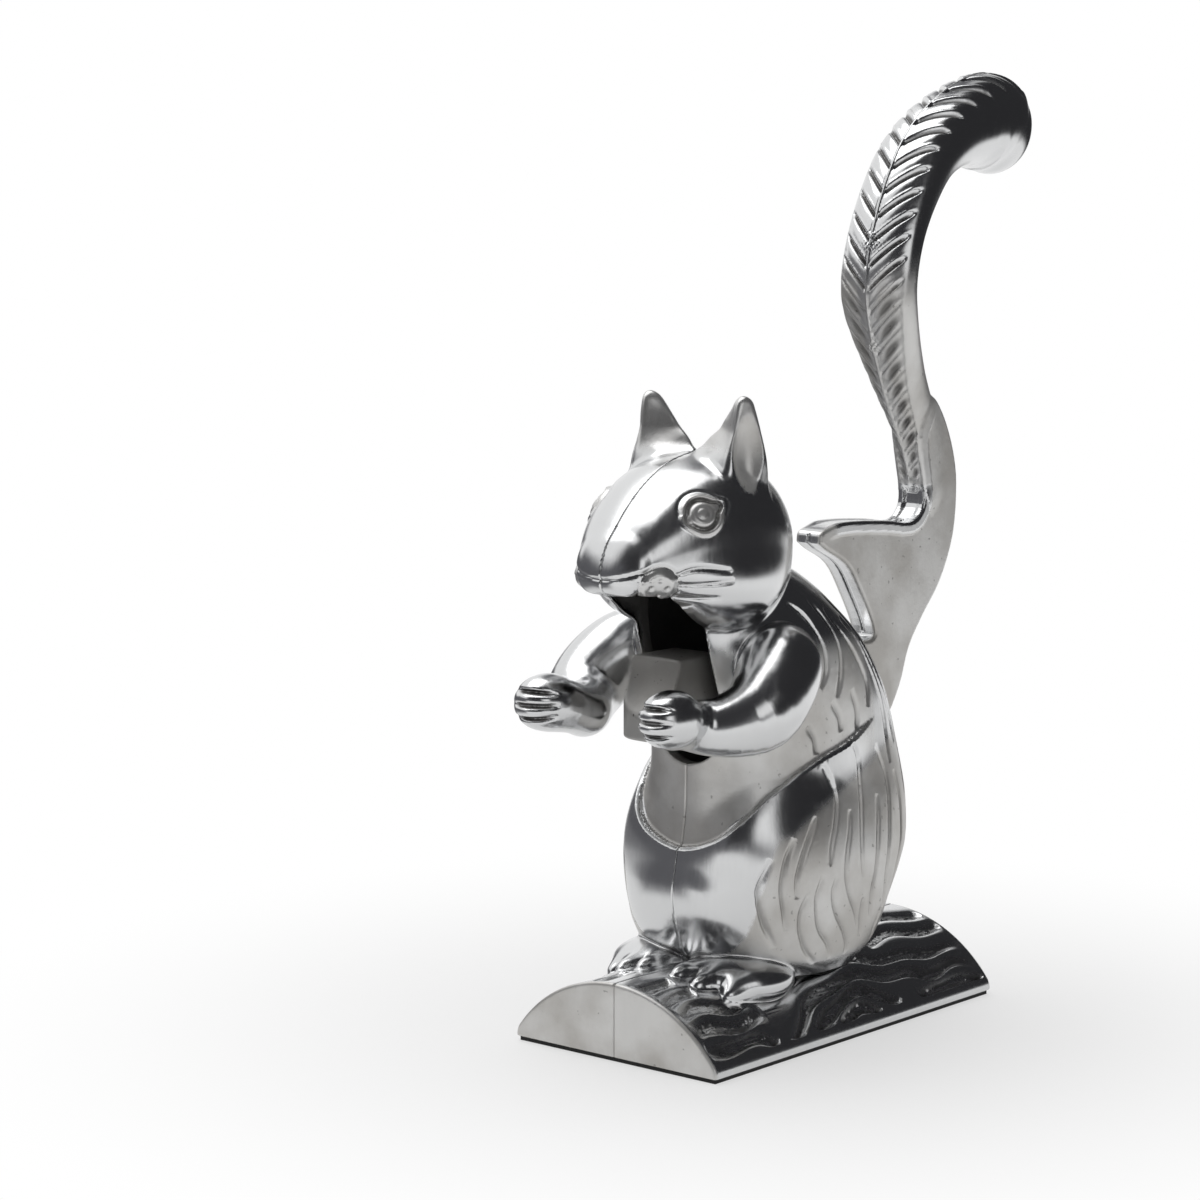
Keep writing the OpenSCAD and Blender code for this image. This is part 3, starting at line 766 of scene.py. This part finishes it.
def sculpt(field, low, high, step):
    """Closed mesh of the field's inside, its corners evened out and drawn onto the true surface."""
    values, origin = lattice(field, low, high, step)
    corners, quads = nets(values, origin, step)
    start, end = np.concatenate([quads[:, [i, (i + 1) % 4]] for i in range(4)]).T
    size = len(corners)
    count = np.bincount(start, minlength=size) + np.bincount(end, minlength=size)
    total = np.empty_like(corners)
    for axis in range(3):
        total[:, axis] = (np.bincount(start, corners[end, axis], size)
                          + np.bincount(end, corners[start, axis], size))
    corners = draw_on(field, corners, 0.5 * (total / count[:, None] - corners), step)
    corners, faces = thin(corners, quads)
    for _ in range(2):
        corners = draw_on(field, corners, np.zeros_like(corners), step)
    return corners, faces


def add_mesh(name, field, corners, faces, marks, body, material):
    """A piece from corners in mm, shaded by the field's own slope, with its finish marks."""
    normals = slope(field, corners, 0.12)
    normals /= np.maximum(np.linalg.norm(normals, axis=1), 1e-6)[:, None]
    mesh = bare_mesh(name, corners * MM, faces)
    mesh.polygons.foreach_set("use_smooth", np.ones(len(faces), bool))
    for title, values in marks.items():
        layer = mesh.attributes.new(title, "FLOAT", "POINT")
        layer.data.foreach_set("value", values.astype(np.float32))
    mesh.normals_split_custom_set_from_vertices(normals.astype(np.float32))
    piece = new_object(name, mesh)
    mesh.materials.append(material)
    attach(piece, body)
    return piece


# ---------------- materials

def shader(name):
    """New material, its node tree and its Principled shader."""
    material = bpy.data.materials.new(name)
    material.use_nodes = True
    return material, material.node_tree, material.node_tree.nodes["Principled BSDF"]


def node(tree, kind, **settings):
    made = tree.nodes.new("ShaderNode" + kind)
    for key, value in settings.items():
        setattr(made, key, value)
    return made


def feed(tree, value, socket):
    """Links another node's output to the socket, or sets the socket to a plain value."""
    if hasattr(value, "links"):
        tree.links.new(value, socket)
    else:
        socket.default_value = value


def mark(tree, name):
    return node(tree, "Attribute", attribute_name=name).outputs["Fac"]


def maths(tree, kind, a, b):
    made = node(tree, "Math", operation=kind)
    feed(tree, a, made.inputs[0])
    feed(tree, b, made.inputs[1])
    return made.outputs[0]


def mix_colour(tree, share, a, b):
    made = node(tree, "Mix", data_type="RGBA")
    tree.links.new(share, made.inputs["Factor"])
    for name, value in (("A", a), ("B", b)):
        feed(tree, value, [i for i in made.inputs if i.name == name and i.type == "RGBA"][0])
    return [o for o in made.outputs if o.type == "RGBA"][0]


def noise(tree, scale, detail=3.0, stretch=(1, 1, 1)):
    mapping = node(tree, "Mapping")
    mapping.inputs["Scale"].default_value = stretch
    tree.links.new(node(tree, "TexCoord").outputs["Object"], mapping.inputs["Vector"])
    made = node(tree, "TexNoise")
    made.inputs["Scale"].default_value = scale
    made.inputs["Detail"].default_value = detail
    tree.links.new(mapping.outputs[0], made.inputs["Vector"])
    return made.outputs["Fac"]


def emboss(tree, surface, height, strength, distance):
    """Fine relief of the surface, shaded from a height."""
    bump = node(tree, "Bump")
    bump.inputs["Strength"].default_value = strength
    bump.inputs["Distance"].default_value = distance
    tree.links.new(height, bump.inputs["Height"])
    tree.links.new(bump.outputs[0], surface.inputs["Normal"])


POLISHED, SATIN = (0.67, 0.675, 0.68, 1), (0.72, 0.715, 0.70, 1)
# The last colour is the dark that the marks mix towards: patina in grooves, pits, and painted shade inside
# the shell and in creases.
STAIN, DIRT_AND_SHADE = (0.53, 0.515, 0.49, 1), (0.16, 0.155, 0.15, 1)


def aluminium():
    """Polished casting: satin and darkening come from the marks on the mesh, the rest from noise; the
    darkening is patina in grooves and pits, and painted shade inside the shell and in creases.
    """
    material, tree, surface = shader("cast_aluminium")
    satin, grime_and_shade = mark(tree, "satin"), mark(tree, "grime_and_shade")
    surface.inputs["Metallic"].default_value = 1.0
    metallic = maths(tree, "SUBTRACT", 1.0, maths(tree, "MULTIPLY", satin, 0.3))
    feed(tree, metallic, surface.inputs["Metallic"])
    cloud = noise(tree, 90)
    fine = noise(tree, 900, 4)
    brushed = noise(tree, 1400, 2, (1, 1, 0.12))
    patches = maths(tree, "MULTIPLY", maths(tree, "SUBTRACT", noise(tree, 55, 6), 0.38), 4.2)
    colour = mix_colour(tree, satin, POLISHED, mix_colour(tree, patches, STAIN, SATIN))
    pits = maths(tree, "MULTIPLY", satin, maths(tree, "GREATER_THAN", noise(tree, 520, 5), 0.69))
    # Mixes towards the dark colour: patina in grooves, pits, and painted shade in creases and inside the
    # shell.
    dirt_and_shade = maths(tree, "MINIMUM", maths(tree, "ADD", grime_and_shade, maths(tree, "MULTIPLY", pits, 0.45)), 1.0)
    feed(tree, mix_colour(tree, dirt_and_shade, colour, DIRT_AND_SHADE), surface.inputs["Base Color"])
    rough = maths(tree, "ADD", maths(tree, "MULTIPLY", satin, 0.20), 0.19)
    for source, middle, gain in ((cloud, 0.4, 0.10), (brushed, 0.5, 0.10), (dirt_and_shade, 0.0, 0.25)):
        spread = maths(tree, "MULTIPLY", maths(tree, "SUBTRACT", source, middle), gain)
        rough = maths(tree, "ADD", rough, spread)
    feed(tree, maths(tree, "MAXIMUM", rough, 0.05), surface.inputs["Roughness"])
    height = maths(tree, "ADD", maths(tree, "MULTIPLY", fine, satin), maths(tree, "MULTIPLY", brushed, 0.25))
    height = maths(tree, "ADD", height, maths(tree, "MULTIPLY", cloud, 0.6))
    emboss(tree, surface, height, 0.25, 0.00015)
    return material


def worn(name, metallic, dark, light, rough, scale):
    """Plain finish with worn patches: noise between two colours, in the roughness and in a fine bump."""
    material, tree, surface = shader(name)
    surface.inputs["Metallic"].default_value = metallic
    grain = noise(tree, scale, 5)
    ramp = node(tree, "ValToRGB")
    for stop, at, colour in zip(ramp.color_ramp.elements, (0.35, 0.65), (dark, light)):
        stop.position = at
        stop.color = (*colour, 1)
    feed(tree, grain, ramp.inputs["Fac"])
    feed(tree, ramp.outputs["Color"], surface.inputs["Base Color"])
    spread = node(tree, "MapRange")
    spread.inputs["To Min"].default_value = rough - 0.1
    spread.inputs["To Max"].default_value = rough + 0.1
    feed(tree, grain, spread.inputs["Value"])
    feed(tree, spread.outputs["Result"], surface.inputs["Roughness"])
    emboss(tree, surface, grain, 0.3, 0.0001)
    return material


# ---------------- the pieces

metal = aluminium()
steel = worn("steel", 1.0, (0.42, 0.42, 0.43), (0.58, 0.58, 0.60), 0.32, 900)
pad = worn("pad_rubber", 0.0, (0.012, 0.012, 0.012), (0.028, 0.027, 0.026), 0.8, 600)


def crease(field, p):
    """How far each corner lies in a narrow crease, where shade is painted."""
    way = slope(field, p, 0.3)
    way /= np.maximum(np.linalg.norm(way, axis=1), 1e-6)[:, None]
    return smooth(0.3, 0.8, 1 - evaluate(field, p + 1.4 * way) / 1.4)


def casting_marks(p):
    """How satin and how dark the casting is at each corner: patina in the grooves, painted shade inside the
    shell and in creases.
    """
    x, y, z = p.T
    gap = form(p)
    above, keen = thigh(p)
    apron = smooth(-1, 1, above / (0.4 + 14 * (1 - keen))) * smooth(99, 93, z) * smooth(17, 12, y)
    apron *= (torso(p) < 1.2) * (z > 40)
    apron *= 1 - within(p, ARM_BOX, lambda q: arm(q) < 1.2, 0.0)
    ends = smooth(55.2, 55.6, np.abs(y)) * (z < 20)
    scoop = within(p, SCOOP_BOX, lambda q: smooth(0.5, -0.1, egg(q, *SCOOP)), 0.0)
    inner = smooth(-1.2, -2.0, gap) * smooth(0.5, 1.2, x)
    flank = smooth(1.5, -1.5, z - curve(FLANK, y)[:, 1]) * smooth(18, 22, z)
    flank *= (gap < 1) * (log_block(p) > 1.5)
    flank *= 1 - smooth(2, 0, within(p, FOOT_BOX, foot))
    iris = smooth(6, 5, np.linalg.norm(p - np.array(EYE["at"]), axis=1))
    snout = smooth(5.5, 4.5, np.linalg.norm(p - np.array(PAD["at"]), axis=1))
    ears = smooth(141, 146, z) * (x > 1)
    satin = apron * 0.9 + ends + scoop * 0.9 + inner + 0.9 * flank + 0.6 * iris + 0.5 * snout + 0.55 * ears
    carve = np.zeros(len(p))
    near = np.flatnonzero(np.abs(gap) < 3)
    carve[near] = relief(p[near])
    # Painted shade: darker inside the hollow shell and in narrow creases; the darker grooves are patina.
    grime_and_shade = 0.45 * smooth(0.3, 1.0, carve) + 0.75 * inner + 0.6 * crease(outside, p)
    return {"satin": np.clip(satin, 0, 1), "grime_and_shade": np.clip(grime_and_shade, 0, 1)}


def lever_marks(p):
    """How satin and how dark the lever is at each corner: patina in its grooves, painted shade in its
    creases; its jaw is left rough and darker.
    """
    x, y, z = p.T
    run, behind, _, deep = along_tail(p)
    carve = tail_relief(p) * (np.abs(tail(p)) < 2.5)
    web = smooth(2.5, 3.6, np.abs(x)) * smooth(190, 165, z)
    leaves = smooth(66, 50, run) * (behind < 0.5 * deep) * (z > 128)
    edge = smooth(0.15, 0.4, -web_relief(p))
    rough = smooth(-18, -24, y)
    satin = np.maximum(np.clip(web * (1 - edge) + 0.6 * leaves, 0, 1), rough)
    grime_and_shade = 0.45 * smooth(0.35, 0.8, carve) + 0.3 * leaves * smooth(0.1, 0.5, carve)
    # Painted shade in the lever's creases; the jaw is darker too.
    grime_and_shade += 0.5 * crease(lever, p) + 0.55 * rough
    return {"satin": satin, "grime_and_shade": np.clip(grime_and_shade, 0, 1)}


SHELL_BOX = ((-1, -69, 0), (39, 57.5, 159))
LEVER_BOX = ((-12.5, -48, 65), (12.5, 110, 235))
MIRROR = [-1, 1, 1]


def add_shell(side):
    """One half's casting; the right one is sculpted on the left and mirrored."""
    field = casting(side == "right")
    corners, faces = sculpt(field, *SHELL_BOX, STEP)
    marks = casting_marks(corners)
    turned = field
    if side == "right":
        corners = corners * MIRROR
        faces = faces[:, ::-1]
        turned = lambda p: field(p * MIRROR)
    shell = add_mesh(side + "_casting", turned, corners, faces, marks, "body", metal)
    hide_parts(side + "_half")


def add_lever():
    corners, faces = sculpt(lever, *LEVER_BOX, STEP)
    marks = lever_marks(corners)
    piece = add_mesh("tail_casting", lever, corners, faces, marks, "lever", metal)
    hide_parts("tail_lever")


add_shell("left")
add_shell("right")
add_lever()

FINISHES = {"pivot_pin": steel, "left_thrust_washer": steel, "right_thrust_washer": steel,
            "assembly_screws": steel, "alignment_dowels": steel, "base_pad": pad}
for carried, finish in FINISHES.items():
    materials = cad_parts[carried].data.materials
    materials.clear()
    materials.append(finish)


# ---------------- the studio

CAMERA_AT, CAMERA_TARGET = (0.5169, -0.6633, 0.2210), (-0.0301, -0.0258, 0.1044)
LENS, SENSOR = 104.1, 36.0    # mm
SOFTBOX_AT, SOFTBOX_TARGET = (-0.63, -0.03, 1.47), (-0.63, -0.03, 0)
SOFTBOX_SIZE, SOFTBOX_POWER = (1.3, 1.25), 9
CARD_PITCH, CARD_FADE = 3.5, 14    # degrees between a card's corners, and over which its sides fade
FLOOR_GREY, FLOOR_FOOT = 0.9, 0.5
# For each kind of ray: metres from the middle over which the floor turns to pure white
FLOOR_WHITE = [("Is Camera Ray", 0.04, 0.21), ("Is Glossy Ray", 0.08, 0.45)]
WORLD_LIGHT, WORLD_SEEN = 0.55, 1.0


def aim(thing, target):
    """Turns a lamp or camera to look at the target."""
    thing.rotation_euler = (Vector(target) - thing.location).to_track_quat("-Z", "Y").to_euler()


camera_data = bpy.data.cameras.new("camera")
camera_data.sensor_width = SENSOR
camera_data.lens = LENS
camera = new_object("camera", camera_data)
camera.location = CAMERA_AT
aim(camera, CAMERA_TARGET)
bpy.context.scene.camera = camera


def softbox():
    """The one lamp, a large soft rectangle overhead."""
    data = bpy.data.lights.new("softbox", "AREA")
    data.shape = "RECTANGLE"
    data.size, data.size_y = SOFTBOX_SIZE
    data.energy = SOFTBOX_POWER
    light = new_object("softbox", data)
    light.location = SOFTBOX_AT
    aim(light, SOFTBOX_TARGET)


def studio_place(azimuth, height, reach):
    """Place in the studio: degrees from the rear round by +X, height and distance in metres."""
    turn = math.radians(azimuth)
    return (reach * math.sin(turn), reach * math.cos(turn), height)


def card(name, azimuths, rows, tone):
    """Studio card seen only in reflections: a curved wall through rows of [height, distance, cover]."""
    turns = np.arange(azimuths[0], azimuths[1] + 0.1, CARD_PITCH)
    corners = [studio_place(turn, *row[:2]) for row in rows for turn in turns]
    sides = smooth(0, CARD_FADE, np.minimum(turns - turns[0], turns[-1] - turns))
    cover = np.outer([row[2] for row in rows], sides).ravel()
    wide = len(turns)
    faces = [(i * wide + j, i * wide + j + 1, (i + 1) * wide + j + 1, (i + 1) * wide + j)
             for i in range(len(rows) - 1) for j in range(wide - 1)]
    mesh = bpy.data.meshes.new(name)
    mesh.from_pydata(corners, [], faces)
    layer = mesh.attributes.new("cover", "FLOAT", "POINT")
    layer.data.foreach_set("value", cover.astype(np.float32))
    wall = new_object(name, mesh)
    material, tree, surface = shader(name)
    shade = node(tree, "Emission")
    shade.inputs["Color"].default_value = (tone, tone, tone * 1.08, 1)
    clear = node(tree, "BsdfTransparent")
    mixed = node(tree, "MixShader")
    for source, socket in zip((mark(tree, "cover"), clear.outputs[0], shade.outputs[0]), mixed.inputs):
        tree.links.new(source, socket)
    tree.links.new(mixed.outputs[0], tree.nodes["Material Output"].inputs["Surface"])
    tree.nodes.remove(surface)
    mesh.materials.append(material)
    wall.visible_camera = wall.visible_diffuse = wall.visible_shadow = wall.visible_transmission = False


ROOF = [(1.3, 1.25, 1), (1.6, 0.8, 1), (1.74, 0.42, 1), (1.78, 0.16, 0)]
CARDS = [
    ("card_rear_right", (-30, 114), [(0.005, 0.8, 0), (0.07, 0.86, 1), (0.2, 1.2, 1)] + ROOF, 0.03),
    ("card_rear", (-52, -18), [(0.65, 1.45, 0), (0.85, 1.4, 1)] + ROOF, 0.12),
    ("card_left_top", (-150, -40), [(1.5, 1.1, 0)] + ROOF[1:], 0.1),
    ("card_front_low", (104, 215), [(0.0, 1.0, 0), (0.04, 1.0, 1), (0.12, 1.1, 1), (0.26, 1.1, 0)], 0.1),
    ("card_left_low", (196, 310), [(0.002, 0.16, 0), (0.003, 0.24, 0.9), (0.03, 0.5, 1), (0.09, 0.7, 1),
                                   (0.2, 0.9, 1), (0.32, 1.1, 0)], 0.12),
    ("card_front", (128, 215), [(0.08, 1.08, 0), (0.2, 1.08, 1), (0.85, 1.05, 1)] + ROOF, 0.04),
    ("card_front_left", (180, 268), [(0.1, 1.06, 1), (0.4, 1.06, 1), (0.62, 1.06, 0)], 0.12),
    ("card_roof_front", (95, 150), [(0.7, 1.12, 0), (0.95, 1.06, 1)] + ROOF, 0.04)]


def floor_finish():
    """Matt white that keeps the shadow near the object and turns to pure white further out."""
    material, tree, surface = shader("floor_white")
    surface.inputs["Base Color"].default_value = (FLOOR_GREY, FLOOR_GREY, FLOOR_GREY, 1)
    surface.inputs["Roughness"].default_value = 0.7
    surface.inputs["Specular IOR Level"].default_value = 0.2
    middle = node(tree, "VectorMath", operation="LENGTH")
    feed(tree, node(tree, "NewGeometry").outputs["Position"], middle.inputs[0])
    path = node(tree, "LightPath")
    shares = []
    for ray, near, far in FLOOR_WHITE:
        reach = node(tree, "MapRange", interpolation_type="SMOOTHSTEP")
        feed(tree, middle.outputs["Value"], reach.inputs["Value"])
        for title, value in (("From Min", near), ("From Max", far), ("To Min", FLOOR_FOOT), ("To Max", 1.0)):
            reach.inputs[title].default_value = value
        shares.append(maths(tree, "MULTIPLY", path.outputs[ray], reach.outputs["Result"]))
    share = maths(tree, "ADD", *shares)
    mixed = node(tree, "MixShader")
    white = node(tree, "Emission")
    for source, socket in zip((share, surface.outputs[0], white.outputs[0]), mixed.inputs):
        feed(tree, source, socket)
    feed(tree, mixed.outputs[0], tree.nodes["Material Output"].inputs["Surface"])
    return material


def sky():
    """World that is white to the eye and in reflections, and dimmer as a light."""
    world = bpy.data.worlds.new("studio")
    world.use_nodes = True
    tree = world.node_tree
    backdrop = tree.nodes["Background"]
    backdrop.inputs["Color"].default_value = (1, 1, 1, 1)
    path = node(tree, "LightPath")
    seen = path.outputs["Is Camera Ray"]
    for ray in ("Is Glossy Ray", "Is Transmission Ray"):
        seen = maths(tree, "MAXIMUM", seen, path.outputs[ray])
    level = node(tree, "MapRange")
    level.inputs["To Min"].default_value = WORLD_LIGHT
    level.inputs["To Max"].default_value = WORLD_SEEN
    feed(tree, seen, level.inputs["Value"])
    feed(tree, level.outputs["Result"], backdrop.inputs["Strength"])
    return world


softbox()
for settings in CARDS:
    card(*settings)

bpy.ops.mesh.primitive_plane_add(size=8)
floor = bpy.context.object
floor.name = "floor"
floor.data.materials.append(floor_finish())
bpy.context.scene.world = sky()
bpy.context.scene.view_settings.view_transform = "Standard"
